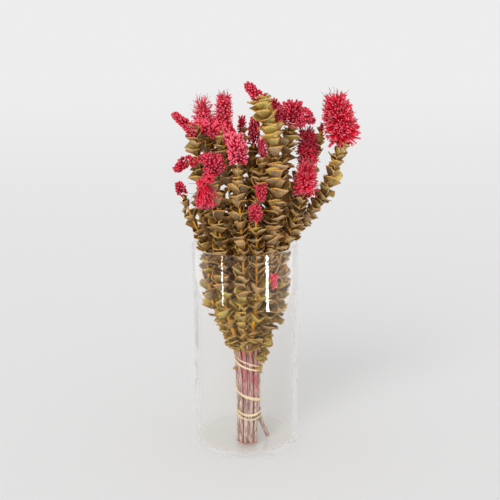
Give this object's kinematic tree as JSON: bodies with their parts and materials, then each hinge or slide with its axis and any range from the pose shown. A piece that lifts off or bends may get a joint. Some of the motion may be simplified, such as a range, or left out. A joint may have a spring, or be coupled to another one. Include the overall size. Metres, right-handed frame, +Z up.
{
  "type": "bunch of paranomus",
  "caption": "Dried bunch of leafy, decussate-leaved sprigs with crimson flower heads, tied with raffia, standing in a clear glass cylinder vase.",
  "frame": {"origin": "centre of the vase's underside", "axes": "+Z up along the vase's axis, -Y towards the bunch's front, +X to the right seen from the front"},
  "size_m": [0.2063, 0.125, 0.4373],
  "materials": {
    "glass": "clear and smooth",
    "raffia": "dry matt fibre",
    "stem": "dry bark",
    "leaves": "dry, leathery, faint sheen",
    "flowers": "dry matt"
  },
  "bodies": {
    "root": {"vase": "glass", "raffia_tie": "raffia", "stem_01": "stem", "leaves_01": "leaves", "stem_02": "stem", "leaves_02": "leaves", "stem_03": "stem", "leaves_03": "leaves", "stem_04": "stem", "leaves_04": "leaves", "stem_05": "stem", "leaves_05": "leaves", "stem_06": "stem", "leaves_06": "leaves", "stem_07": "stem", "leaves_07": "leaves", "stem_08": "stem", "leaves_08": "leaves", "stem_09": "stem", "leaves_09": "leaves", "stem_10": "stem", "leaves_10": "leaves", "stem_11": "stem", "leaves_11": "leaves", "stem_12": "stem", "leaves_12": "leaves", "stem_13": "stem", "leaves_13": "leaves", "stem_14": "stem", "leaves_14": "leaves", "stem_15": "stem", "leaves_15": "leaves", "stem_16": "stem", "leaves_16": "leaves", "stem_17": "stem", "leaves_17": "leaves", "stem_18": "stem", "leaves_18": "leaves", "flower_head_01": "flowers", "flower_head_03": "flowers", "flower_head_04": "flowers", "flower_head_05": "flowers", "flower_head_06": "flowers", "flower_head_07": "flowers", "flower_head_08": "flowers", "flower_head_09": "flowers", "flower_head_10": "flowers", "flower_head_11": "flowers", "flower_head_12": "flowers", "flower_head_13": "flowers", "flower_head_14": "flowers", "flower_head_15": "flowers", "flower_head_16": "flowers", "flower_head_17": "flowers", "flower_head_18": "flowers", "flower_head_19": "flowers", "flower_head_20": "flowers", "flower_head_21": "flowers", "flower_head_22": "flowers", "flower_head_23": "flowers"}
  },
  "joints": []
}
